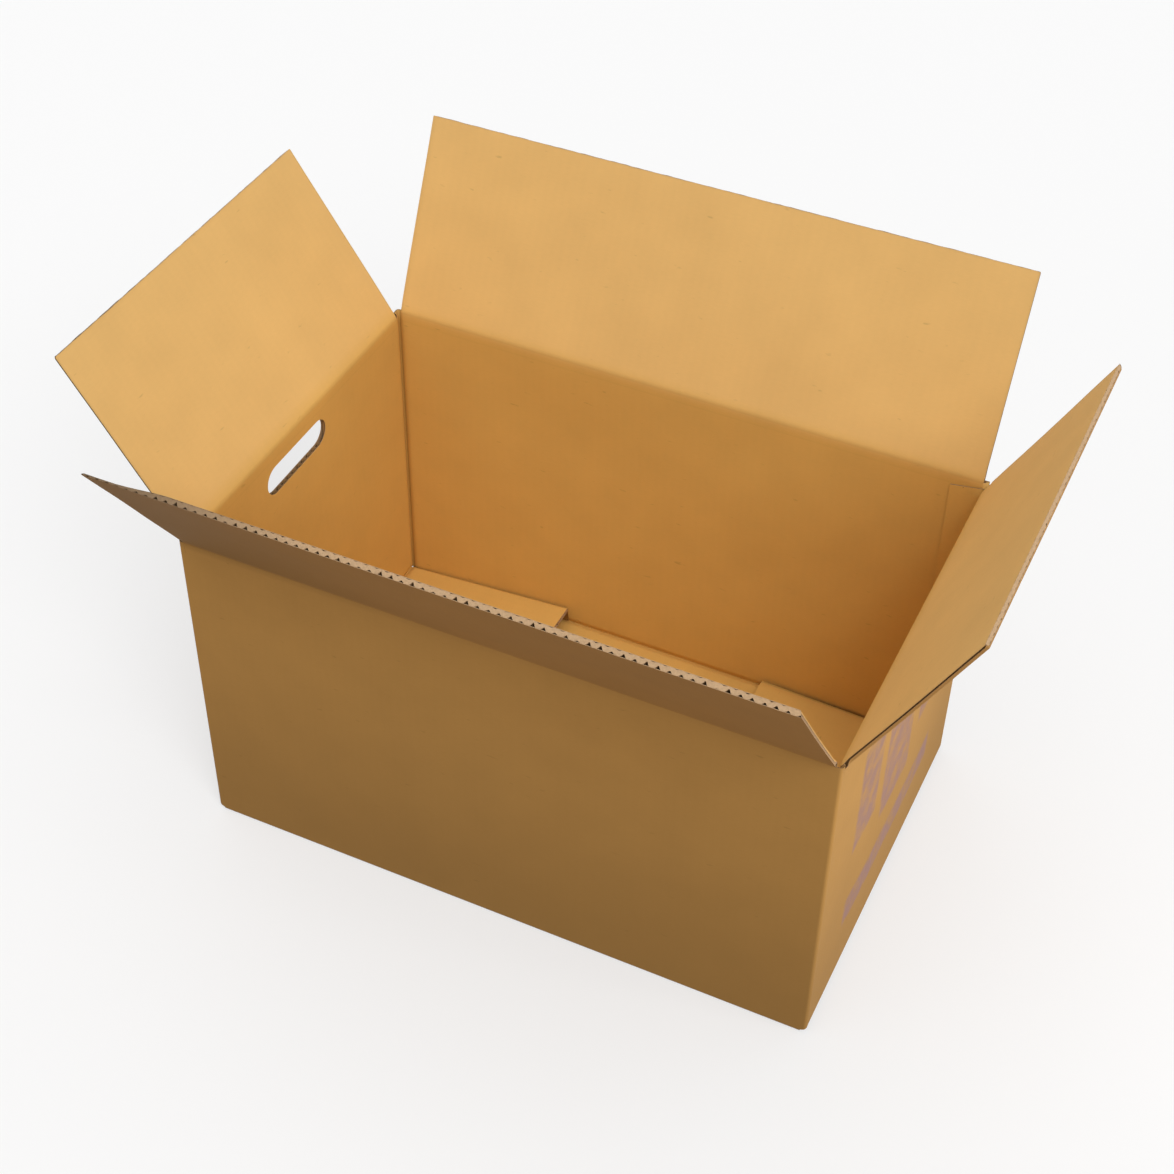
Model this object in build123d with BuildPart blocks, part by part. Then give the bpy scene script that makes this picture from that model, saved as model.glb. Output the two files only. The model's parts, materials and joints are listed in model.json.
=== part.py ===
import os
from math import copysign, radians, sqrt, tan

from build123d import *

os.makedirs("parts", exist_ok=True)

# A slotted carton of single-wall fluted board, standing open. Millimetres, +Z up.
# The origin is the centre of the underside, at the floor. X runs along the long walls,
# and the front wall faces -Y.

# Outside of the made-up box
box_length = 600.0
box_width = 382.0
box_height = 340.0  # from the underside to the crease of the long flaps

# The board: two flat papers with a wavy paper glued between them
board = 5.0
face_paper = 0.35
wavy_paper = 0.25
flute_pitch = 8.8
glue_line = 1.6  # width of the flat crest that is glued to a face paper

# Slots between neighbouring flaps, and the folds
side_clearance = 1.0  # between a short flap's side edge and the long wall beside it
slot_relief = 3.0  # how far a top slot runs on past the crease, into the wall
inner_fold_radius = 0.5
corner_foot_radius = 3.5  # where the upright folds are pressed round at the floor
leaf_gap = 0.3  # between one flap and the flap folded over it
seam_gap = 1.0  # between the free edges of the two long flaps when they are shut
crease_slit = 0.2  # the crease line, each side of the fold's axis
crushed_strip = 14.0  # board pressed flat beside a crease, where the flutes end

# How far each top flap leans out from upright, in degrees
front_lean = 35.0
back_lean = 25.0
left_lean = 33.5
right_lean = 28.5

# How far the free ends of the short floor flaps have sprung up, in degrees
left_floor_lift = 4.5
right_floor_lift = 2.0

# Hand holes in the end walls, the same cut in both end panels of the blank
hand_hole_length = 102.0
hand_hole_height = 30.0
hand_hole_corner = 12.0
hand_hole_offset = 9.5  # from the middle of the panel
hand_hole_drop = 18.0  # from the crease down to the top of the hole

# The glue tab carries on from the right wall and is stuck inside the back wall
tab_width = 33.0
tab_thickness = 3.0  # squeezed in the joint
tab_taper = 8.0
tab_end_gap = 5.0  # clear of the flaps that fold in above and below it

# Packing tape over the seam of the long floor flaps
tape_width = 48.0
tape_thickness = 0.1
tape_end_inset = 4.0

# Levels. The short flaps fold in first, so their creases are one board nearer the middle.
underside = tape_thickness
long_crease = box_height
short_crease = long_crease - board - leaf_gap
long_floor = underside
short_floor = long_floor + board + leaf_gap

# Panels
slot_inset = board + side_clearance  # a flap's side edge from the outer face beside it
fold_radius = board + inner_fold_radius
flap_reach = box_width / 2 - seam_gap / 2
long_panel = box_length - 2 * slot_inset
short_panel = box_width - 2 * slot_inset

# Each wall seen from its end: local X runs inwards from its outer face, and local Y up
front = Plane(origin=(0, -box_width / 2, 0), x_dir=(0, 1, 0), z_dir=(1, 0, 0))
back = Plane(origin=(0, box_width / 2, 0), x_dir=(0, -1, 0), z_dir=(-1, 0, 0))
left = Plane(origin=(-box_length / 2, 0, 0), x_dir=(1, 0, 0), z_dir=(0, -1, 0))
right = Plane(origin=(box_length / 2, 0, 0), x_dir=(-1, 0, 0), z_dir=(0, 1, 0))


def turned_about(wall, level, angle):
    """The wall's plane, moved up to a crease and turned about it, outwards when positive."""
    return Plane(wall.location * Location((0, level, 0), (0, 0, angle)))


def cut_edge(panel, reach):
    """The free edge of a panel, facing out of it: local Y runs from outer to inner face."""
    way_out = copysign(1, reach)
    return Plane(
        origin=panel.from_local_coords((0, reach, 0)),
        x_dir=panel.z_dir * way_out,
        z_dir=panel.y_dir * way_out,
    )


def cut_flutes(edge, width, length):
    """Cuts the hollows on both sides of the wavy paper, from a cut edge into the board."""
    depth = board - 2 * face_paper - wavy_paper
    flank = flute_pitch / 2 - glue_line
    flank_wall = wavy_paper * sqrt(1 + (flank / depth) ** 2)
    slope = (flank + flank_wall) / (depth + wavy_paper)
    wide = flute_pitch - glue_line
    narrow = wide - 2 * slope * depth
    count = int(width / flute_pitch)
    with BuildSketch(edge) as channels:
        for outer_side, number in ((True, count), (False, count - 1)):
            foot = face_paper if outer_side else board - face_paper
            rise = depth if outer_side else -depth
            with BuildSketch(mode=Mode.PRIVATE) as channel:
                with BuildLine():
                    Polyline(
                        (-wide / 2, foot),
                        (wide / 2, foot),
                        (narrow / 2, foot + rise),
                        (-narrow / 2, foot + rise),
                        close=True,
                    )
                make_face()
            with GridLocations(flute_pitch, 0, number, 1):
                add(channel.sketch)
    extrude(channels.sketch, amount=-length, mode=Mode.SUBTRACT)


def wall_and_floor_flap(wall, width, crease, floor, lift):
    """Adds a wall with the floor flap that folds in from it, and a mitred top crease."""
    flap = turned_about(wall, floor, 90 + lift)
    tip_outer = wall.to_local_coords(flap.from_local_coords((0, -flap_reach, 0)))
    tip_inner = wall.to_local_coords(flap.from_local_coords((board, -flap_reach, 0)))
    # where the flap's upper face meets the wall's inner face
    inner_corner = tip_inner.Y - (tip_inner.X - board) * tan(radians(lift))
    with BuildSketch(wall) as profile:
        with BuildLine():
            Polyline(
                (0, floor),
                (tip_outer.X, tip_outer.Y),
                (tip_inner.X, tip_inner.Y),
                (board, inner_corner),
                (board, crease - crease_slit - board),
                (0, crease - crease_slit),
                close=True,
            )
        make_face()
        by_height = profile.vertices().filter_by(lambda v: v.X < board / 2).sort_by(Axis.Y)
        fillet(by_height[0], radius=fold_radius)
        inside = profile.vertices().filter_by(lambda v: abs(v.X - board) < 0.01).sort_by(Axis.Y)
        fillet(inside[0], radius=inner_fold_radius)
    extrude(profile.sketch, amount=width / 2, both=True)


# The body: one blank of board, scored, slotted, folded round and closed at the glue tab
with BuildPart() as box_body:
    # The upright corner folds, between the ends of the slots, pressed round at the foot
    corner_head = short_crease - slot_relief
    with BuildSketch(Plane.XY.offset(short_floor)):
        RectangleRounded(box_length, box_width, fold_radius)
        RectangleRounded(
            box_length - 2 * board, box_width - 2 * board, inner_fold_radius, mode=Mode.SUBTRACT
        )
        Rectangle(long_panel, box_width, mode=Mode.SUBTRACT)
        Rectangle(box_length, short_panel, mode=Mode.SUBTRACT)
    extrude(amount=corner_head - short_floor)
    foot_arcs = box_body.edges().group_by(Axis.Z)[0].filter_by(GeomType.CIRCLE)
    fillet(foot_arcs.filter_by(lambda arc: arc.radius > board / 2), radius=corner_foot_radius)

    # The long walls, whose floor flaps meet at the seam
    for wall in (front, back):
        wall_and_floor_flap(wall, long_panel, long_crease, long_floor, 0)

    # The end walls, whose floor flaps lie inside, over the long ones
    for wall, lift in ((left, left_floor_lift), (right, right_floor_lift)):
        wall_and_floor_flap(wall, short_panel, short_crease, short_floor, lift)

    # The glue tab
    tab_foot = short_floor + board + tab_end_gap
    tab_head = short_crease - board - tab_end_gap
    tab_seat = Plane(
        origin=(box_length / 2 - board, box_width / 2 - board, 0), x_dir=(1, 0, 0), z_dir=(0, -1, 0)
    )
    with BuildSketch(tab_seat):
        with BuildLine():
            Polyline(
                (0, tab_foot),
                (0, tab_head),
                (-tab_width, tab_head - tab_taper),
                (-tab_width, tab_foot + tab_taper),
                close=True,
            )
        make_face()
    extrude(amount=tab_thickness)

    # The hand holes, and the flutes that their upper and lower edges lay open
    hole_level = short_crease - hand_hole_drop - hand_hole_height / 2
    for wall in (left, right):
        middle = wall.from_local_coords((0, hole_level, hand_hole_offset))
        with BuildSketch(Plane(origin=middle, x_dir=wall.z_dir, z_dir=wall.x_dir)):
            RectangleRounded(hand_hole_length, hand_hole_height, hand_hole_corner)
        extrude(amount=board, mode=Mode.SUBTRACT)
        level_cut = Plane(origin=middle, x_dir=wall.z_dir, z_dir=wall.y_dir)
        flutes_laid_open = hand_hole_length - 2 * hand_hole_corner
        cut_flutes(level_cut, flutes_laid_open, hole_level - short_crease + crushed_strip)
        cut_flutes(level_cut, flutes_laid_open, hole_level - short_floor - crushed_strip)

    # The flutes that show on the free edges of the short floor flaps
    for wall, lift in ((left, left_floor_lift), (right, right_floor_lift)):
        floor_flap = turned_about(wall, short_floor, 90 + lift)
        cut_flutes(cut_edge(floor_flap, -flap_reach), short_panel, flap_reach - crushed_strip)
box_body.part.label = "box_body"
export_step(box_body.part, "parts/box_body.step")

# The top flaps, each leaning out on its crease, with the flutes open along the free edge
top_flaps = (
    ("front_flap", front, long_panel, long_crease, front_lean),
    ("back_flap", back, long_panel, long_crease, back_lean),
    ("left_flap", left, short_panel, short_crease, left_lean),
    ("right_flap", right, short_panel, short_crease, right_lean),
)
for name, wall, width, crease, lean in top_flaps:
    panel = turned_about(wall, crease, lean)
    with BuildPart() as flap:
        with BuildSketch(panel):
            with BuildLine():
                Polyline(
                    (0, crease_slit),
                    (0, flap_reach),
                    (board, flap_reach),
                    (board, crease_slit + board),
                    close=True,
                )
            make_face()
        extrude(amount=width / 2, both=True)
        cut_flutes(cut_edge(panel, flap_reach), width, flap_reach - crushed_strip)
    flap.part.label = name
    export_step(flap.part, f"parts/{name}.step")

# The tape that holds the floor shut, along the seam of the long floor flaps
with BuildPart() as bottom_tape:
    with BuildSketch():
        Rectangle(long_panel - 2 * tape_end_inset, tape_width)
    extrude(amount=tape_thickness)
bottom_tape.part.label = "bottom_tape"
export_step(bottom_tape.part, "parts/bottom_tape.step")
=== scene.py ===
import json
from collections import namedtuple
from math import cos, pi, radians, sin, sqrt, tan

import bmesh
import bpy
from mathutils import Matrix, Vector, noise


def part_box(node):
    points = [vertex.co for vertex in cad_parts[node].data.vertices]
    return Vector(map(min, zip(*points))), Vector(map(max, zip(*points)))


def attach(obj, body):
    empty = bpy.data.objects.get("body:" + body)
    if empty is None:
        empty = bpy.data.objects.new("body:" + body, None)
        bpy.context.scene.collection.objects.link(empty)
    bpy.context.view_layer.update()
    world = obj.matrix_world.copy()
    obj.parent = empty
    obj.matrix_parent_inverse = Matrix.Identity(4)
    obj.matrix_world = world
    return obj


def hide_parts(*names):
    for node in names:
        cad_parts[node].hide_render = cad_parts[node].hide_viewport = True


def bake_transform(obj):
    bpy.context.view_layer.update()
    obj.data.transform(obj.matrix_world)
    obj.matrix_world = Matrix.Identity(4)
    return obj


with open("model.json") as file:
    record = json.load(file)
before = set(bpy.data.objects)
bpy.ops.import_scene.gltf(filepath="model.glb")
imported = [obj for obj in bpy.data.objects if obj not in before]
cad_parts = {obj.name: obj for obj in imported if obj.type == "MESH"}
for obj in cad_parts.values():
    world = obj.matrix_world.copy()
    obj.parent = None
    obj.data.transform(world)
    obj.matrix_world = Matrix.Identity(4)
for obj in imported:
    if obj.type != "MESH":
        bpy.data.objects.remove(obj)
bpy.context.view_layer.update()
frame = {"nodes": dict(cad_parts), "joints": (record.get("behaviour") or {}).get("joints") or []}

# The blank. The whole carton is one sheet of single-wall board, two flat kraft papers with a wavy
# one glued between them, scored, slotted and folded round. It is drawn flat in millimetres, outer
# face up: X runs along the sheet from the back wall's raw edge, and Y is the height up the wall.
metre = 1000.0  # folding the blank up turns its millimetres into metres
board = 5.0
face_paper = 0.35
wavy_paper = 0.25
flute_pitch = 8.8
fold_radius = 3.0
slot_inset = 6.0
seam_gap = 1.0
raw_edge_setback = 1.5  # the back wall's cut edge stops this far short of the right wall
glue_tab_width = 32.0
glue_line = 0.05  # the gap that a film of glue fills
hair = 0.01  # less than any real distance, for telling which side of an edge a corner is on

walls_low, walls_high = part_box("box_body")
half_length, half_width = walls_high.x * metre, walls_high.y * metre
pivots = {joint["child"]: Vector(joint["pos_m"]) for joint in frame["joints"]}
long_crease = pivots["front_flap"].z * metre
short_crease = pivots["left_flap"].z * metre
long_floor = walls_low.z * metre
short_floor = long_floor + long_crease - short_crease
flap_reach = half_width - seam_gap / 2
slot_head = long_crease  # the slots between the top flaps end level with the long creases
tab_head = short_crease - 0.3

Run = namedtuple("Run", "start point heading radius")


def facing(angle):
    return Vector((cos(angle), sin(angle)))


def lay_runs():
    """The outer face of the standing walls, seen from above, as straight runs and quarter turns."""
    point, heading = Vector((half_length - raw_edge_setback, half_width)), pi
    straights = (
        2 * half_length - raw_edge_setback - fold_radius,
        2 * half_width - 2 * fold_radius,
        2 * half_length - 2 * fold_radius,
        2 * half_width - 2 * fold_radius - board - glue_line,
        glue_tab_width,
    )
    laid, start = [], 0.0
    for number, length in enumerate(straights):
        laid.append(Run(start, point, heading, 0))
        point, start = point + length * facing(heading), start + length
        if number < len(straights) - 1:
            laid.append(Run(start, point, heading, fold_radius))
            point = point + fold_radius * (facing(heading) + facing(heading + pi / 2))
            heading, start = heading + pi / 2, start + fold_radius * pi / 2
    return laid, start


runs, blank_end = lay_runs()
upright_folds = [run.start + run.radius * pi / 4 for run in runs if run.radius]
floor_fold = fold_radius * (1 - pi / 4)


def on_ring(along):
    """The point of the outer face at a distance along the blank, and which way it heads there."""
    run = next((run for run in reversed(runs) if along >= run.start), runs[0])
    past = along - run.start
    if not run.radius:
        return run.point + past * facing(run.heading), run.heading
    heading = run.heading + past / run.radius
    centre = run.point + run.radius * facing(run.heading + pi / 2)
    return centre - run.radius * facing(heading + pi / 2), heading


# The walls. Each lies between two slots of the blank, with a top flap beyond its crease and a
# floor flap below its floor fold. The short floor flaps have sprung up a little, and the top flaps
# lean out on their creases, their edges pinched by the knife, some of them nearly shut.

# tip and side are the shares of the thickness that are gone at a top flap's edges, and held is
# the face that stayed flat, 0 outer or 1 inner. The slot before the left flap was punched wider.
Wall = namedtuple("Wall", "flap first middle last crease floor lift lean tip side held slot_wider")
long_half = half_length - slot_inset
short_half = half_width - slot_inset
back_middle = half_length - raw_edge_setback
left_middle = runs[2].start + half_width - fold_radius
front_middle = runs[4].start + half_length - fold_radius
right_middle = runs[6].start + half_width - fold_radius
back_wall = Wall("back_flap", back_middle - long_half, back_middle, back_middle + long_half,
                 long_crease, long_floor, 0.0, radians(25), 0.3, 0.4, 1, 0)
left_wall = Wall("left_flap", left_middle - short_half, left_middle, left_middle + short_half,
                 short_crease, short_floor, radians(4.5), radians(33.5), 0.35, 0.65, 1, 4)
front_wall = Wall("front_flap", front_middle - long_half, front_middle, front_middle + long_half,
                  long_crease, long_floor, 0.0, radians(35), 0.0, 0.45, 0, 0)
right_wall = Wall("right_flap", right_middle - short_half, right_middle, runs[7].start,
                  short_crease, short_floor, radians(2), radians(28.5), 0.35, 0.62, 1, 0)
walls = (back_wall, left_wall, front_wall, right_wall)


def smooth_step(low, high, value):
    share = min(1.0, max(0.0, (value - low) / (high - low)))
    return share * share * (3 - 2 * share)


def wall_at(along):
    """The wall at a distance along the blank. An upright fold takes after both its walls."""
    for wall in walls:
        if wall.first - hair <= along <= wall.last + hair:
            return wall if along > wall.first + wall.slot_wider + hair else wall._replace(lean=0.0)
    for before, after in zip(walls, walls[1:]):
        if before.last < along < after.first:
            share = (along - before.last) / (after.first - before.last)
            floor = before.floor + share * (after.floor - before.floor)
            return before._replace(floor=floor, lift=0.0, lean=0.0)
    return (walls[0] if along < walls[0].first else walls[-1])._replace(lift=0.0, lean=0.0)


def score(distance, flat, ends, most):
    """The depth of a score, or of its mark, at a distance from its middle."""
    return most * (1 - smooth_step(flat, ends, abs(distance)))


fold_flat = 2.3  # each side of a fold's middle, where the scoring rule presses evenly
fold_crush = 0.46  # the share of its thickness that the board loses there, and in the glue press
crease_groove = 0.03
mashed_head = 0.84  # the share that is lost at the head of an upright fold, between two slots
mashed_tab_head = 0.86

def crushed(along, up, wall):
    """The share of its thickness that the board has lost to a score or to the glue press."""
    lost = [score(along - fold, fold_flat, 8.5, fold_crush) for fold in upright_folds]
    lost.append(score(up - floor_fold, fold_flat, 9, fold_crush))
    lost.append(score(up - wall.crease, 0.5, 3.0, crease_groove))
    if not any(near.first + near.slot_wider - hair < along < near.last + hair for near in walls):
        lost.append(mashed_head * smooth_step(slot_head - 5, slot_head - 1, up))
    if along > right_wall.last:
        lost.append(fold_crush + 0.28 * smooth_step(runs[-1].start, runs[-1].start + 12, along))
        lost.append(mashed_tab_head * smooth_step(tab_head - 9, tab_head - 1, up) * smooth_step(
            right_wall.last, runs[-1].start, along))
    elif up < short_crease - board - 2:
        lost.append(0.42 * smooth_step(right_wall.last - 9, right_wall.last, along))
    return max(lost)


knife_pinch_depth = 3.2  # how far in from the free edge the knife's pinch reaches
handled_pinch = 0.7  # the front flap's left end, pulled thin by the hands that open it
handled_pinch_depth = 34


def pinched(along, up, wall):
    """The share of its thickness that a top flap has lost along its edges to the knife, and at
    the left end of the front flap to hands."""
    above = up - wall.crease
    if above < 3:
        return 0.0
    tip, depth = wall.tip, knife_pinch_depth
    if wall.flap == "front_flap":
        tip = handled_pinch * (1 - smooth_step(25, 80, along - wall.first))
        depth = handled_pinch_depth
    from_side = min(along - wall.first - wall.slot_wider, wall.last - along)
    at_tip = tip * smooth_step(flap_reach - depth, flap_reach - 1.2, above)
    at_side = score(from_side, 0.2, 2.6, wall.side) * smooth_step(3, 12, above)
    return 1 - (1 - at_tip) * (1 - at_side)


def painted_shade(along, up, wall):
    """How much painted shade darkens the inner face in the grooves of the scores: twin lines at the
    upright folds, one soft line at the floor folds, and a fine one at each crease with a faint one
    below it. Painted shade also darkens the pinched edges of the flaps, most at the pinched end of
    the front flap."""
    above = up - wall.crease
    # painted shade along the pinched edges, strongest on the front flap's left half
    wear_and_edge_shade = 0.8 if wall.flap == "front_flap" and along < wall.middle else 0.25
    marks = [score(up - floor_fold, 0.4, 3.2, 0.3), score(above, 0.2, 1.6, 0.1),
             score(above + 9, 0.1, 1.3, 0.06), wear_and_edge_shade * pinched(along, up, wall)]
    for fold in upright_folds:
        marks += [score(along - fold, 1.5, 8, 0.3), score(abs(along - fold) - 4.2, 0.1, 1.0, 0.45)]
    return max(marks)


def bowed(along, up, wall):
    """How far the board stands out from flat: walls and flaps are never quite true."""
    wave = noise.noise(Vector((along / 170, up / 140, 5.2)))
    above = up - wall.crease
    if above > 0:
        belly = smooth_step(8, 70, above) * smooth_step(0, 60, flap_reach - above)
        return (0.5 * smooth_step(8, 60, above) + 1.6 * belly) * wave
    from_side = min(along - wall.first, wall.last - along)
    return smooth_step(40, 120, from_side) * smooth_step(8, 90, up) * smooth_step(0, 90, -above) * (
        0.8 + 2.5 * wave)


crease_radius = 2.5  # the outer face's bend where a top flap leans out


def side_profile(up, depth, wall):
    """Where a point of a wall stands, as a distance inwards and a height, once its flaps fold."""
    tangent = fold_radius * tan((pi / 2 + wall.lift) / 2)
    turn = fold_radius * (pi / 2 + wall.lift)
    below = tangent - up
    if below > 0:
        angle = min(below, turn) / fold_radius
        straight = max(0.0, below - turn)
        inwards = fold_radius * (1 - cos(angle)) + straight * sin(angle) + depth * cos(angle)
        height = tangent - fold_radius * sin(angle) - straight * cos(angle) + depth * sin(angle)
        return inwards, wall.floor + height
    above = up - wall.crease + crease_radius * tan(wall.lean / 2)
    if above <= 0 or wall.lean == 0:
        return depth, up + wall.floor * (1 - smooth_step(12, 90, up))
    angle = min(above / crease_radius, wall.lean)
    straight = above - angle * crease_radius
    inwards = -crease_radius * (1 - cos(angle)) - straight * sin(angle) + depth * cos(angle)
    height = up - above + crease_radius * sin(angle) + straight * cos(angle) + depth * sin(angle)
    return inwards, height


def stand_up(sheet, wall=None):
    """Folds the flat board up to where it is in the standing box, and marks where painted shade
    darkens it.
    """
    darkened_by_shade = sheet.verts.layers.float.new("darkened_by_shade")
    for corner in sheet.verts:
        along, up, depth = corner.co.x, corner.co.y, -corner.co.z
        here = wall or wall_at(along)
        corner[darkened_by_shade] = painted_shade(along, up, here)
        depth = depth * (1 - crushed(along, up, here))
        flat_face = here.held * board
        depth = flat_face + (depth - flat_face) * (1 - pinched(along, up, here))
        depth = depth - bowed(along, up, here)
        inwards, height = side_profile(up, depth, here)
        point, heading = on_ring(along)
        point = point + inwards * facing(heading + pi / 2)
        corner.co = Vector((point.x, point.y, height)) / metre


def lines(marks, step):
    """Rising distances that hit every mark and leave no gap wider than the step."""
    marks = sorted(marks)
    kept = [marks[0]]
    for mark in marks[1:]:
        if mark - kept[-1] > 0.2:
            start = kept[-1]
            count = int((mark - start) / step - hair) + 1
            kept += [start + (mark - start) * (number + 1) / count for number in range(count)]
    return kept


def paper_sheet(across, up):
    """A flat sheet of faces, its columns and rows at the given distances."""
    paper = bmesh.new()
    columns, rows = len(across) - 1, len(up) - 1
    bmesh.ops.create_grid(paper, x_segments=columns, y_segments=rows, size=1)
    for corner in paper.verts:
        column = round((corner.co.x + 1) / 2 * columns)
        row = round((corner.co.y + 1) / 2 * rows)
        corner.co.xy = across[column], up[row]
    return paper


def cut_away(paper, gone):
    """Cuts out the faces whose middles the given test picks."""
    faces = [face for face in paper.faces if gone(*face.calc_center_median().xy)]
    bmesh.ops.delete(paper, geom=faces, context="FACES")


OUTER, INNER, CUT, FLUTING = range(4)


def face_layer(paper, level, outwards):
    """Gives a flat face paper its thickness, its depth in the board and its materials."""
    bmesh.ops.recalc_face_normals(paper, faces=paper.faces)
    if sum(face.normal.z for face in paper.faces) < 0:
        bmesh.ops.reverse_faces(paper, faces=paper.faces)
    bmesh.ops.solidify(paper, geom=paper.faces[:], thickness=face_paper)
    bmesh.ops.translate(paper, verts=paper.verts, vec=(0, 0, -level))
    for face in paper.faces:
        seen = face.normal.z > 0.5 if outwards else face.normal.z < -0.5
        face.material_index = (OUTER if outwards else INNER) if seen else CUT
    return paper


def wavy_layer(paper):
    """Corrugates the middle paper and gives it its thickness."""
    swing = (board - wavy_paper) / 2 - face_paper - 2 * glue_line
    for corner in paper.verts:
        corner.co.z = (wavy_paper - board) / 2 + swing * cos(2 * pi * corner.co.x / flute_pitch)
    paper.normal_update()
    bmesh.ops.solidify(paper, geom=paper.faces[:], thickness=wavy_paper)
    for face in paper.faces:
        face.material_index = FLUTING
    return paper


def even_steps(first, last, a_flute):
    """Distances at an even pace, so many to a flute."""
    steps = int((last - first) / flute_pitch * a_flute)
    return [first + (last - first) * number / steps for number in range(steps + 1)]


def glued_up(layers):
    """Joins the flat papers into one mesh, and keeps their places on the blank as a map."""
    joined = bmesh.new()
    for layer in layers:
        sheet = bpy.data.meshes.new("layer")
        layer.to_mesh(sheet)
        layer.free()
        joined.from_mesh(sheet)
        bpy.data.meshes.remove(sheet)
    on_blank = joined.loops.layers.uv.new("blank")
    for face in joined.faces:
        for loop in face.loops:
            loop[on_blank].uv = loop.vert.co.xy / metre
    return joined


sharp_edge = radians(35)


def finished_piece(name, mesh, materials):
    """Turns a mesh into a shown piece, smooth but for its sharp edges."""
    for face in mesh.faces:
        face.smooth = True
    for edge in mesh.edges:
        edge.smooth = len(edge.link_faces) == 2 and edge.calc_face_angle() < sharp_edge
    data = bpy.data.meshes.new(name)
    mesh.to_mesh(data)
    mesh.free()
    for material in materials:
        data.materials.append(material)
    piece = bpy.data.objects.new(name, data)
    bpy.context.scene.collection.objects.link(piece)
    return piece


def linear(colour, share=1.0):
    """The linear value of an sRGB hex colour, or of a share of its light."""
    parts = [int(colour[place:place + 2], 16) / 255 for place in (1, 3, 5)]
    return (
        *[share * (p / 12.92 if p <= 0.04045 else ((p + 0.055) / 1.055) ** 2.4) for p in parts],
        1.0,
    )


def add_node(tree, kind, inputs, **settings):
    """Adds a node with its settings. Each input takes a value, or the output of another node."""
    node = tree.nodes.new(kind)
    for name, value in settings.items():
        setattr(node, name, value)
    for socket, source in inputs.items():
        if isinstance(source, bpy.types.NodeSocket):
            tree.links.new(source, node.inputs[socket])
        else:
            node.inputs[socket].default_value = source
    return node


def new_finish(name, **constants):
    """A material's tree and its shader, with the numbers that are the same all over it."""
    material = bpy.data.materials.new(name)
    material.use_nodes = True
    shader = material.node_tree.nodes["Principled BSDF"]
    for socket, value in constants.items():
        shader.inputs[socket.replace("_", " ")].default_value = value
    return material, material.node_tree, shader


mm = 1 / metre  # the map of the blank and object coordinates are in metres
worn_ink_edge = 3


def printed_bar(tree, along, up, middle, size):
    """A mask that is 1 inside an upright rectangle on the blank, with the soft edge of worn ink."""
    sides = []
    for place, centre, extent in ((along, middle[0], size[0]), (up, middle[1], size[1])):
        offset = add_node(tree, "ShaderNodeMath", {0: place, 1: centre * mm}, operation="SUBTRACT")
        away = add_node(tree, "ShaderNodeMath", {0: offset.outputs[0]}, operation="ABSOLUTE")
        sides.append(add_node(tree, "ShaderNodeMapRange", {
            "Value": away.outputs[0],
            "From Min": (extent / 2 + worn_ink_edge) * mm,
            "From Max": (extent / 2 - worn_ink_edge) * mm,
        }).outputs[0])
    both = add_node(tree, "ShaderNodeMath", {0: sides[0], 1: sides[1]}, operation="MULTIPLY")
    return both.outputs[0]


# each block's shift from the middle of the panel, its height up the wall, and its size
print_blocks = (
    (-92, 226, (56, 120)),
    (-8, 210, (74, 152)),
    (80, 226, (56, 120)),
    (-6, 84, (228, 34)),
)


def printed_panel(tree, place):
    """A one-colour flexographic print, faded and rubbed: three upright blocks over a long bar."""
    split = add_node(tree, "ShaderNodeSeparateXYZ", {"Vector": place}).outputs
    ink = 0.0
    for shift, level, size in print_blocks:
        block = printed_bar(tree, split[0], split[1], (right_wall.middle + shift, level), size)
        ink = add_node(tree, "ShaderNodeMath", {0: ink, 1: block}, operation="MAXIMUM").outputs[0]
    wear_and_edge_shade = add_node(tree, "ShaderNodeTexNoise", {
        "Vector": place, "Scale": 1 / (24 * mm), "Detail": 5.0, "Roughness": 0.7})
    left = add_node(tree, "ShaderNodeMapRange", {
        "Value": wear_and_edge_shade.outputs["Fac"], "From Min": 0.34, "From Max": 0.58,
        "To Min": 0.1, "To Max": 0.62})
    worn = add_node(tree, "ShaderNodeMath", {0: ink, 1: left.outputs[0]}, operation="MULTIPLY")
    return worn.outputs[0]


def end_shade_mask(tree, along, reach, most):
    """A mask of painted shade round the left end of the front flap, strongest at that end of the
    front wall.
    """
    offset = add_node(tree, "ShaderNodeMath", {0: along, 1: front_wall.first * mm},
                      operation="SUBTRACT")
    away = add_node(tree, "ShaderNodeMath", {0: offset.outputs[0]}, operation="ABSOLUTE")
    painted_darkening = add_node(tree, "ShaderNodeMapRange", {
        "Value": away.outputs[0], "From Min": reach * mm, "From Max": 0.0, "To Max": most,
    }, interpolation_type="SMOOTHSTEP")
    return painted_darkening.outputs[0]


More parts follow.
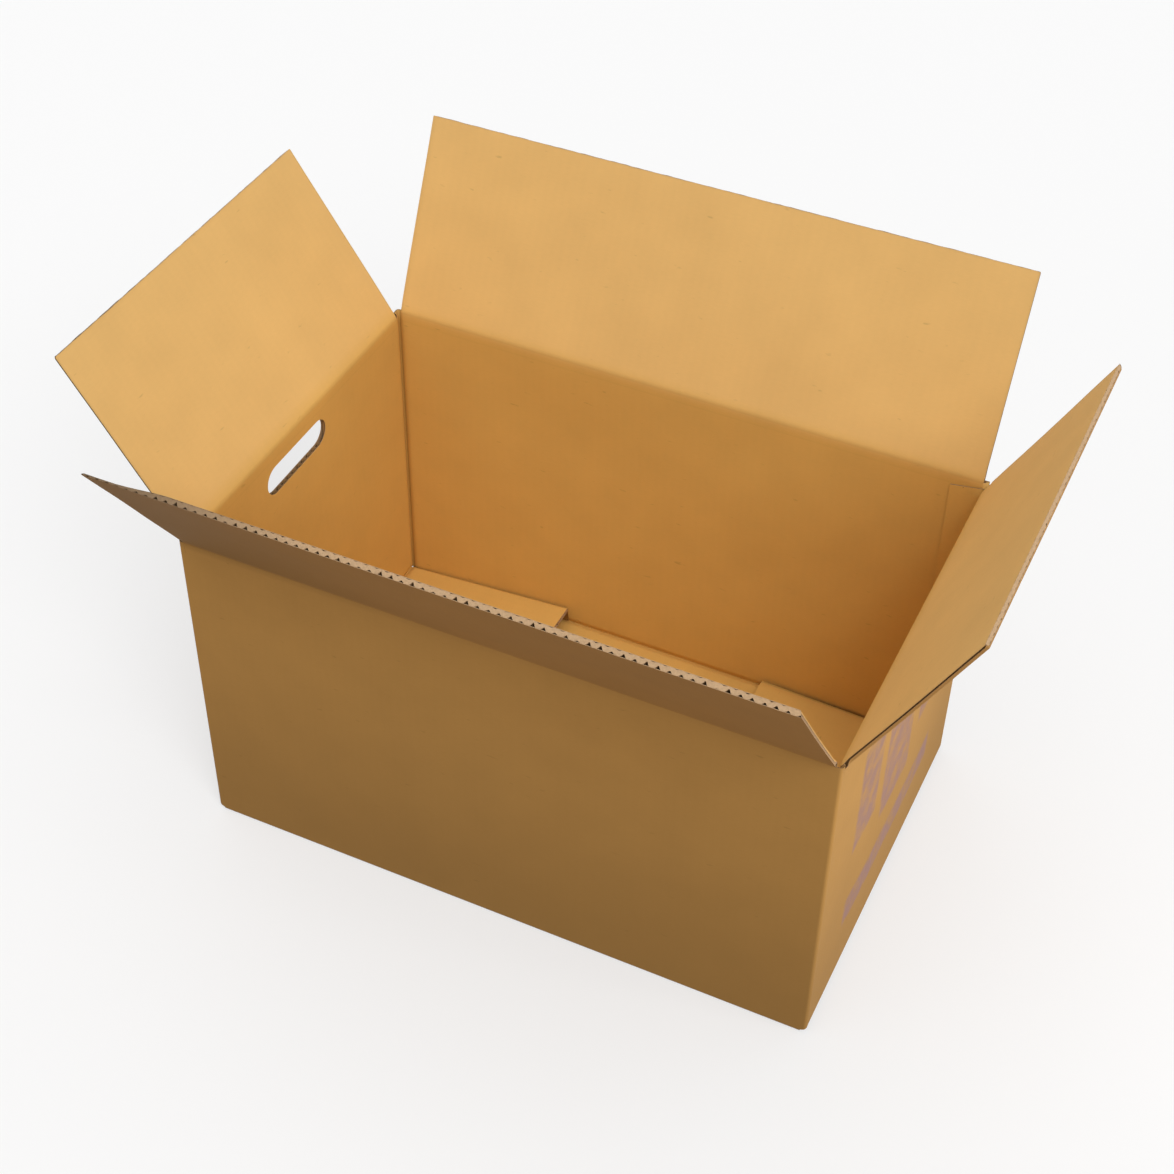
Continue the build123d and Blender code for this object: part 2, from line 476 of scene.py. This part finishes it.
def kraft_liner(name, colour, flap_colour_with_painted_light, side, groove_shade_strength, ink=None):
    """Kraft liner, unbleached and machine-finished: a matt long-fibre paper. Its fibres cloud and
    lie along the machine's run, with dark flecks of bark among them. The flutes show through as
    faint stripes. Painted shade of a given strength darkens the grooves of the scores and the
    pinched edges. The flaps take their own colour as painted light, lighter inside where they
    face up and darker outside where they face down, and the outside has painted shade towards
    the bottom and round the front flap's left end."""
    material, tree, shader = new_finish(name, Roughness=0.75, Specular_IOR_Level=0.25)
    dark = linear(colour, 0.45)
    blank_map = add_node(tree, "ShaderNodeUVMap", {}, uv_map="blank").outputs["UV"]
    place = add_node(tree, "ShaderNodeMapping", {
        "Vector": blank_map, "Location": (side, side, 0)}).outputs[0]
    cloud = add_node(tree, "ShaderNodeTexNoise", {
        "Vector": place, "Scale": 1 / (55 * mm), "Detail": 5.0})
    run = add_node(tree, "ShaderNodeMapping", {"Vector": place, "Scale": (0.3, 1, 1)}).outputs[0]
    # real fibres are 0.04 mm wide, and are drawn as the 1 mm bundles that show from here
    fibre = add_node(tree, "ShaderNodeTexNoise", {
        "Vector": run, "Scale": 1 / (2.2 * mm), "Detail": 3.0, "Roughness": 0.65})
    flute = add_node(tree, "ShaderNodeTexWave", {
        "Vector": blank_map, "Scale": pi / 10 / (flute_pitch * mm)})
    grain = add_node(tree, "ShaderNodeMath", {
        0: fibre.outputs["Fac"], 1: 0.35, 2: cloud.outputs["Fac"]}, operation="MULTIPLY_ADD")
    striped = add_node(tree, "ShaderNodeMath", {
        0: flute.outputs["Fac"], 1: 0.04, 2: grain.outputs[0]}, operation="MULTIPLY_ADD")
    even = add_node(tree, "ShaderNodeMapRange", {
        "Value": striped.outputs[0], "From Min": 0.4, "From Max": 1.0})
    split = add_node(tree, "ShaderNodeSeparateXYZ", {"Vector": blank_map}).outputs
    on_flap = add_node(tree, "ShaderNodeMapRange", {
        "Value": split[1], "From Min": (short_crease - 2) * mm,
        "From Max": (long_crease + 8) * mm}).outputs[0]
    # painted light: the flaps take their own colour, lighter on the inner face where they face up
    # and darker on the outer face where they face down
    ends = [
        add_node(tree, "ShaderNodeMix", {
            0: on_flap, 6: linear(colour, share), 7: linear(flap_colour_with_painted_light, share),
        }, data_type="RGBA").outputs[2]
        for share in (0.95, 1.05)
    ]
    tone = add_node(tree, "ShaderNodeMix", {0: even.outputs[0], 6: ends[0], 7: ends[1]},
                    data_type="RGBA").outputs[2]
    bark = add_node(tree, "ShaderNodeTexNoise", {
        "Vector": run, "Scale": 1 / (5 * mm), "Detail": 2.0})
    fleck = add_node(tree, "ShaderNodeMapRange", {
        "Value": bark.outputs["Fac"], "From Min": 0.7, "From Max": 0.78, "To Max": 0.3})
    tone = add_node(tree, "ShaderNodeMix", {0: fleck.outputs[0], 6: tone, 7: dark},
                    data_type="RGBA").outputs[2]
    # painted shade in the score grooves and along the pinched edges of the flaps
    shade_attribute = add_node(tree, "ShaderNodeAttribute", {}, attribute_name="darkened_by_shade")
    darker = add_node(tree, "ShaderNodeMapRange", {
        "Value": shade_attribute.outputs["Fac"], "To Max": groove_shade_strength})
    tone = add_node(tree, "ShaderNodeMix", {0: darker.outputs[0], 6: tone, 7: linear(colour, 0.25)},
                    data_type="RGBA").outputs[2]
    if ink:
        # painted shade: the outside grows darker towards the bottom, from 320 mm up the wall down
        # to the floor
        low = add_node(tree, "ShaderNodeMapRange", {
            "Value": split[1], "From Min": 320 * mm, "From Max": 0.0, "To Max": 0.56,
        }, interpolation_type="SMOOTHSTEP").outputs[0]
        # painted shade round the front flap's left end, on the flaps only
        front_end_shade = end_shade_mask(tree, split[0], 300, 0.75)
        front_end_shade = add_node(tree, "ShaderNodeMath", {0: front_end_shade, 1: on_flap},
                           operation="MULTIPLY").outputs[0]
        painted_darkening = add_node(tree, "ShaderNodeMath", {0: low, 1: front_end_shade},
                        operation="MAXIMUM").outputs[0]
        tone = add_node(tree, "ShaderNodeMix", {0: painted_darkening, 6: tone, 7: dark},
                        data_type="RGBA").outputs[2]
        tone = add_node(tree, "ShaderNodeMix", {
            0: printed_panel(tree, blank_map), 6: tone, 7: linear(ink)},
            data_type="RGBA").outputs[2]
    tree.links.new(tone, shader.inputs["Base Color"])
    washboard = add_node(tree, "ShaderNodeBump", {
        "Height": flute.outputs["Fac"], "Distance": 0.025 * mm, "Strength": 1.0})
    tooth = add_node(tree, "ShaderNodeBump", {
        "Height": fibre.outputs["Fac"], "Distance": 0.06 * mm, "Strength": 1.0,
        "Normal": washboard.outputs[0]})
    tree.links.new(tooth.outputs[0], shader.inputs["Normal"])
    return material


def cut_paper(name, colour):
    """The raw edge of kraft paper where a knife or a punch went through: torn fibre ends, paler
    and rougher than the face, with painted shade round the front flap's left end."""
    material, tree, shader = new_finish(name, Roughness=0.95, Specular_IOR_Level=0.1)
    place = add_node(tree, "ShaderNodeTexCoord", {}).outputs["Object"]
    fibre = add_node(tree, "ShaderNodeTexNoise", {
        "Vector": place, "Scale": 1 / (1.6 * mm), "Detail": 3.0})
    tone = add_node(tree, "ShaderNodeMix", {
        0: fibre.outputs["Fac"], 6: linear(colour, 0.7), 7: linear(colour, 1.2)},
        data_type="RGBA").outputs[2]
    blank_map = add_node(tree, "ShaderNodeUVMap", {}, uv_map="blank").outputs["UV"]
    along = add_node(tree, "ShaderNodeSeparateXYZ", {"Vector": blank_map}).outputs[0]
    # painted shade on the cut edges round the front flap's left end
    tone = add_node(tree, "ShaderNodeMix", {
        0: end_shade_mask(tree, along, 240, 0.9), 6: tone, 7: linear(colour, 0.3)},
        data_type="RGBA").outputs[2]
    tree.links.new(tone, shader.inputs["Base Color"])
    return material


papers = (
    kraft_liner("kraft_liner_outside", "#BF904E", "#B4864A", 0.0, 0.0, ink="#8A6E7C"),
    kraft_liner("kraft_liner_inside", "#DAAD5E", "#E0B570", 0.37, 0.9),
    cut_paper("cut_kraft_edge", "#C0A07C"),
    cut_paper("fluting_paper", "#A98458"),
)

# The body. The four walls, their upright folds, the glue tab and the floor flaps are the largest
# part of the folded blank. Its outline on the sheet is cut by a die, with a hand hole in each end
# wall. The walls stop a little below the creases, where the top flaps take over.
slot_foot = 3.0
crease_strip = 12.0
tab_foot = 15.4
tab_taper = 5.0
hole_length = 102.0
hole_height = 30.0
hole_corner = 14.9
hole_margin = 4.0
hole_drop = 33  # from the crease down to the middle of the hole
hole_offset = 9.5  # from the middle of the wall
hole_level = short_crease - hole_drop
hand_holes = [Vector((wall.middle + hole_offset, hole_level)) for wall in (left_wall, right_wall)]
floor_free_edge = fold_radius * (2 - pi / 2) - flap_reach


def is_board(along, up):
    """Whether the body's part of the blank has board there, or it is slotted away."""
    if along > right_wall.last:
        return tab_foot < up < tab_head
    for wall in walls:
        if wall.first + wall.slot_wider < along < wall.last:
            return up < wall.crease - crease_strip
        if wall.first < along < wall.last:
            return up < slot_head
    return slot_foot < up < slot_head


def near_hole(along, up, margin, holes=hand_holes):
    """Whether a place on the blank is in a hand hole's rectangle, or within a margin of it."""
    return any(
        abs(along - hole.x) < hole_length / 2 + margin
        and abs(up - hole.y) < hole_height / 2 + margin
        for hole in holes
    )


across = lines(
    [0, blank_end]
    + [mark for wall in walls for mark in (wall.first, wall.first + wall.slot_wider, wall.last)]
    + [hole.x + side * (hole_length / 2 + hole_margin) for hole in hand_holes for side in (-1, 1)]
    + [fold + side * distance for fold in upright_folds for side in (-1, 1)
       for distance in (0, 0.8, 1.6, 2.36, 3.2, 4.2, 5.2, 7, 10, 14)],
    24,
)
fold_rows = [
    floor_fold + distance
    for distance in (-9, -7, -5.4, -4.2, -3.2, -2.3, -1.2, 0, 1.2, 2.3, 3.2, 4.2, 5.4, 7, 9)
]
hole_rows = [hole_level + side * (hole_height / 2 + hole_margin) for side in (-1, 1)]
head_rows = [tab_head, slot_head, short_crease - crease_strip, long_crease - crease_strip]
floor_rows = lines([floor_free_edge, -10], 8)
rows = lines([*floor_rows, slot_foot, 12, tab_foot, 22, *fold_rows, *hole_rows, *head_rows], 30)


def cut_hand_hole(paper, hole):
    """Fills the margin round a hand hole up to the rounded rectangle that the die cuts."""
    rim = bmesh.ops.create_grid(paper, x_segments=1, y_segments=1, size=0.5)["verts"]
    bmesh.ops.scale(paper, verts=rim, vec=(hole_length, hole_height, 1))
    bmesh.ops.translate(paper, verts=rim, vec=(hole.x, hole.y, 0))
    bmesh.ops.bevel(paper, geom=rim, affect="VERTICES", offset=hole_corner, segments=8,
                    profile=0.5, material=-1)
    opening = max(paper.faces, key=lambda face: len(face.verts))
    bmesh.ops.delete(paper, geom=[opening], context="FACES_ONLY")
    around = [
        edge for edge in paper.edges
        if len(edge.link_faces) < 2
        and all(near_hole(*corner.co.xy, hole_margin + hair, [hole]) for corner in edge.verts)
    ]
    bmesh.ops.triangle_fill(paper, edges=around, use_beauty=True)


tuft_place = 92  # from the floor fold, along the floor flap's edge


def rough_side(paper):
    """Roughens the back edge of the left floor flap, where a dull knife dragged and left a tuft."""
    for corner in paper.verts:
        if abs(corner.co.x - left_wall.first) < hair and corner.co.y < -15:
            drag = 0.5 + 0.9 * noise.noise(Vector((corner.co.y / 9, 3.1, 0.4)))
            corner.co.x += drag - 1.1 * (1 - smooth_step(4, 10, abs(corner.co.y + tuft_place)))


def taper_tab(paper, setback):
    """Narrows the glue tab towards its free edge, where it keeps clear of the flaps."""
    middle, reach = (tab_foot + tab_head) / 2, (tab_head - tab_foot) / 2
    for corner in paper.verts:
        beyond_fold = min(1, max(0, corner.co.x - runs[-1].start) / glue_tab_width)
        narrower = setback * smooth_step(
            right_wall.last - hair, right_wall.last + hair, corner.co.x)
        share = 1 - (beyond_fold * tab_taper + narrower) / reach
        corner.co.y = middle + (corner.co.y - middle) * share


def body_face(level, outwards):
    paper = paper_sheet(across, rows)
    cut_away(paper, lambda along, up: not is_board(along, up) or near_hole(along, up, hole_margin))
    for hole in hand_holes:
        cut_hand_hole(paper, hole)
    rough_side(paper)
    taper_tab(paper, 0)
    return face_layer(paper, level, outwards)


def body_fluting():
    paper = paper_sheet(
        even_steps(0, blank_end, 5),
        lines([floor_free_edge, *fold_rows[1::2], 14, tab_foot, *hole_rows,
               hole_level - hole_height / 2, hole_level + hole_height / 2, *head_rows], 45),
    )
    cut_away(paper, lambda along, up: not is_board(along, up) or near_hole(along, up, 0))
    taper_tab(paper, 0.6)
    return wavy_layer(paper)


def mashed_edge(first, last, low, high, mouth):
    """The wavy paper's cut edge, mashed by a blunt knife until it nearly fills the board: a strip
    with a mouth over each flute on the outer side, and a smaller one between on the inner side."""
    strip = paper_sheet(even_steps(first, last, 12), [low, high])
    bmesh.ops.translate(strip, verts=strip.verts, vec=(0, 0, -face_paper - glue_line))
    thickness = board - 2 * face_paper - 2 * glue_line
    bmesh.ops.solidify(strip, geom=strip.faces[:], thickness=thickness)
    for corner in strip.verts:
        torn = max(0.15, 0.9 + 1.1 * noise.noise(Vector((corner.co.x / 7, 4.4, 8.1))))
        swing = 0.5 * cos(2 * pi * corner.co.x / flute_pitch)
        if corner.co.z > -board / 2:
            corner.co.z -= torn * mouth * (0.5 - swing) ** 4
        else:
            corner.co.z += torn * mouth * 0.25 * (0.5 + swing) ** 4
    for face in strip.faces:
        face.material_index = CUT
    return strip


def floor_flap_edge(wall):
    """The mashed free edge of a short floor flap, just inside the outline of its face papers."""
    inset, low, high, mouth = 1.5, 0.15, 1.5, 3.0
    return mashed_edge(wall.first + inset, wall.last - inset,
                       floor_free_edge + low, floor_free_edge + high, mouth)


body = glued_up([body_face(0, True), body_face(board - face_paper, False), body_fluting(),
                 floor_flap_edge(left_wall), floor_flap_edge(right_wall)])
stand_up(body)
carton_body = finished_piece("carton_body", body, papers)
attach(carton_body, "box")
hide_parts("box_body")

# The top flaps. Each is the board beyond one crease, still one sheet with its wall, so the piece
# takes in the strip below the crease and bends there. Their cut edges lay the flutes open, and the
# knife leaves the corners a little round and the fibres mashed.
crease_rows = (
    -12, -10.4, -9, -7.6, -6, -4.6, -3.4, -2.4, -1.4, -0.6, 0, 0.6, 1.4, 2.4, 3.4, 5, 8, 12)
tip_rows = (6, 2.4, 1.2, 0)  # back from the free edge
side_columns = (0, 0.8, 1.6, 2.6, 6)  # in from each side edge
flap_corner = 2.5
tip_setback = 0.9


def corner_cut(distance):
    """How far a rounded corner takes the free edge back, at a distance from the side edge."""
    return flap_corner - sqrt(flap_corner ** 2 - max(0.0, flap_corner - distance) ** 2)


def bared_flank(along, up):
    """The flank of the last flute, laid bare where the knife ran along it."""
    flank = paper_sheet([face_paper, 1.6, 3.4, board - face_paper], up)
    for corner in flank.verts:
        share = (corner.co.x - face_paper) / (board - 2 * face_paper)
        corner.co = Vector((along - 0.5 * sin(pi * share), corner.co.y, -corner.co.x))
    flank.normal_update()
    bmesh.ops.solidify(flank, geom=flank.faces[:], thickness=wavy_paper)
    for face in flank.faces:
        face.material_index = CUT
    return flank


def flap_board(wall, side_channel, mouth):
    """One top flap with the strip of wall below its crease, flat."""
    tip = wall.crease + flap_reach - tip_setback
    side = wall.first + wall.slot_wider
    up = lines([*[wall.crease + row for row in crease_rows], *[tip - row for row in tip_rows]], 16)
    layers = []
    for level, outwards in ((0, True), (board - face_paper, False)):
        paper = paper_sheet(lines([*[side + step for step in side_columns],
                                   *[wall.last - step for step in side_columns]], 6), up)
        ends = [corner for corner in paper.verts
                if corner.co.y > tip - 0.1 and len(corner.link_edges) == 2]
        bmesh.ops.bevel(paper, geom=ends, affect="VERTICES", offset=flap_corner, segments=4,
                        profile=0.5, material=-1)
        for corner in paper.verts:
            if corner.co.y > tip - hair:
                corner.co.y -= 0.25 + 0.45 * noise.noise(Vector((corner.co.x / 5, level, 9.7)))
        layers.append(face_layer(paper, level, outwards))
    first, last = side + side_channel, wall.last - side_channel
    fluting = paper_sheet(
        even_steps(first, last, 10),
        lines([wall.crease - crease_strip, *[wall.crease + row for row in (-4, -2, 0, 2, 4, 12)],
               tip - 0.5], 60),
    )
    edge = mashed_edge(first, last, tip - 1.8, tip - 0.3, mouth)
    for layer in (fluting, edge):
        for corner in layer.verts:
            if corner.co.y > tip - 2:
                corner.co.y -= corner_cut(min(corner.co.x - side, wall.last - corner.co.x))
    layers += [wavy_layer(fluting), edge]
    if side_channel < 1:
        layers += [bared_flank(side + 0.6, up[:-1]), bared_flank(wall.last - 0.1, up[:-1])]
    return glued_up(layers)


side_channels = (1.2, 0.9, 0.9, 1.5)  # from the side edge of each flap to its first flute
flute_mouths = (1.5, 1.5, 2.3, 0.8)
for wall, side_channel, mouth in zip(walls, side_channels, flute_mouths):
    flap = flap_board(wall, side_channel, mouth)
    stand_up(flap, wall)
    piece = finished_piece(wall.flap + "_board", flap, papers)
    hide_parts(wall.flap)
    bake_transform(piece)

# The floor tape. One strip of brown pressure-sensitive polypropylene film, rolled down over the
# seam of the long floor flaps.


def packing_film(name, colour):
    """Brown stretched polypropylene film: glossy, with fine streaks along its length from the
    stretching and small dull bubbles where the adhesive hasn't wetted the paper."""
    material, tree, shader = new_finish(name, IOR=1.49, Coat_Weight=0.3, Coat_Roughness=0.15)
    place = add_node(tree, "ShaderNodeTexCoord", {}).outputs["Object"]
    drawn = add_node(tree, "ShaderNodeMapping", {"Vector": place, "Scale": (0.02, 1, 1)}).outputs[0]
    streak = add_node(tree, "ShaderNodeTexNoise", {
        "Vector": drawn, "Scale": 1 / (1.5 * mm), "Detail": 2.0})
    bubble = add_node(tree, "ShaderNodeTexVoronoi", {"Vector": place, "Scale": 1 / (9 * mm)})
    tone = add_node(tree, "ShaderNodeMix", {
        0: streak.outputs["Fac"], 6: linear(colour, 0.85), 7: linear(colour, 1.15)},
        data_type="RGBA")
    tree.links.new(tone.outputs[2], shader.inputs["Base Color"])
    dull = add_node(tree, "ShaderNodeMapRange", {
        "Value": bubble.outputs["Distance"], "From Min": 0.1, "From Max": 0.3,
        "To Min": 0.45, "To Max": 0.22})
    tree.links.new(dull.outputs[0], shader.inputs["Roughness"])
    wave = add_node(tree, "ShaderNodeBump", {
        "Height": streak.outputs["Fac"], "Distance": 0.05 * mm, "Strength": 0.6})
    tree.links.new(wave.outputs[0], shader.inputs["Normal"])
    return material


tape = packing_film("brown_packing_film", "#A87C4A")
for slot in frame["nodes"]["bottom_tape"].material_slots:
    slot.material = tape

# The studio. A plain pale floor that runs out to the same white as the world behind it, soft
# lamps nearly overhead and at the front right, a weak one low at the right, and the camera where
# the photograph was taken from.
scene = bpy.context.scene
scene.view_settings.view_transform = "Standard"
background_white = 0.947  # a pale grey that shows as #F9F9F9
sky_light = 0.52  # how strongly the world lights the box
floor_glow = 0.52  # lifts the floor to the white of the background, for the camera only
floor_seen, floor_bounced = "#AAAAAA", "#7A644B"  # its colour to the camera, and as the box sees it


def seen_directly(tree):
    """A mask that is 1 where the camera looks, itself or in a reflection, and 0 for soft light."""
    rays = add_node(tree, "ShaderNodeLightPath", {}).outputs
    either = add_node(tree, "ShaderNodeMath", {0: rays["Is Camera Ray"], 1: rays["Is Glossy Ray"]},
                      operation="MAXIMUM")
    return either.outputs[0]


card = bpy.data.materials.new("studio_card")
card.use_nodes = True
card_shader = card.node_tree.nodes["Principled BSDF"]
card_shader.inputs["Roughness"].default_value = 1.0
card_shader.inputs["Specular IOR Level"].default_value = 0.0
card_shader.inputs["Emission Color"].default_value = (1, 1, 1, 1)
seen = seen_directly(card.node_tree)
card_tone = add_node(card.node_tree, "ShaderNodeMix", {
    0: seen, 6: linear(floor_bounced), 7: linear(floor_seen)}, data_type="RGBA")
card.node_tree.links.new(card_tone.outputs[2], card_shader.inputs["Base Color"])
card_glow = add_node(card.node_tree, "ShaderNodeMath", {0: seen, 1: floor_glow},
                     operation="MULTIPLY")
card.node_tree.links.new(card_glow.outputs[0], card_shader.inputs["Emission Strength"])

ground = bmesh.new()
bmesh.ops.create_circle(ground, cap_ends=True, radius=14, segments=96)
floor = finished_piece("studio_floor", ground, [card])

world = bpy.data.worlds.new("studio")
scene.world = world
world.use_nodes = True
world_tree = world.node_tree
sky = world_tree.nodes["Background"]
sky_strength = add_node(world_tree, "ShaderNodeMix", {
    0: seen_directly(world_tree), 2: sky_light, 3: background_white}, data_type="FLOAT")
world_tree.links.new(sky_strength.outputs[0], sky.inputs["Strength"])
sky.inputs["Color"].default_value = (1, 1, 1, 1)


def soft_light(name, turn, rise, spread, strength):
    """A distant soft lamp. Its turn is round the box from the front, anticlockwise from above."""
    lamp = bpy.data.lights.new(name, "SUN")
    lamp.angle, lamp.energy = radians(spread), strength
    holder = bpy.data.objects.new(name, lamp)
    turn, rise = radians(turn), radians(rise)
    source = Vector((cos(rise) * sin(turn), -cos(rise) * cos(turn), sin(rise)))
    holder.rotation_euler = source.to_track_quat("Z", "Y").to_euler()
    scene.collection.objects.link(holder)


soft_light("overhead_light", -90, 82, 60, 0.82)
soft_light("key_light", 45, 46, 35, 1.4)
side_lamp = bpy.data.lights.new("side_lamp", "AREA")  # faces the right end wall
side_lamp.shape, side_lamp.size, side_lamp.size_y = "RECTANGLE", 0.6, 0.15
side_lamp.energy, side_lamp.spread = 1.2, radians(60)
side_holder = bpy.data.objects.new("side_lamp", side_lamp)
side_holder.matrix_world = Matrix.Translation((1.5, 0, 0.1)) @ Matrix.Rotation(pi / 2, 4, "Y")
side_holder.visible_camera = False
scene.collection.objects.link(side_holder)

photo_side = 1174
focal_pixels = 2073.8
view_turn, view_rise, view_roll = radians(24.57), radians(42.48), radians(1.04)
view_distance = 2.0074
view_target = Vector((-0.0491, 0.0980, 0.150))
camera_data = bpy.data.cameras.new("camera")
camera_data.sensor_width = 36
camera_data.lens = focal_pixels / photo_side * camera_data.sensor_width
camera = bpy.data.objects.new("camera", camera_data)
towards = Vector((
    cos(view_rise) * sin(view_turn), -cos(view_rise) * cos(view_turn), sin(view_rise)))
turned = (-towards).to_track_quat("-Z", "Y").to_matrix() @ Matrix.Rotation(view_roll, 3, "Z")
camera.matrix_world = Matrix.Translation(view_target + view_distance * towards) @ turned.to_4x4()
scene.collection.objects.link(camera)
scene.camera = camera
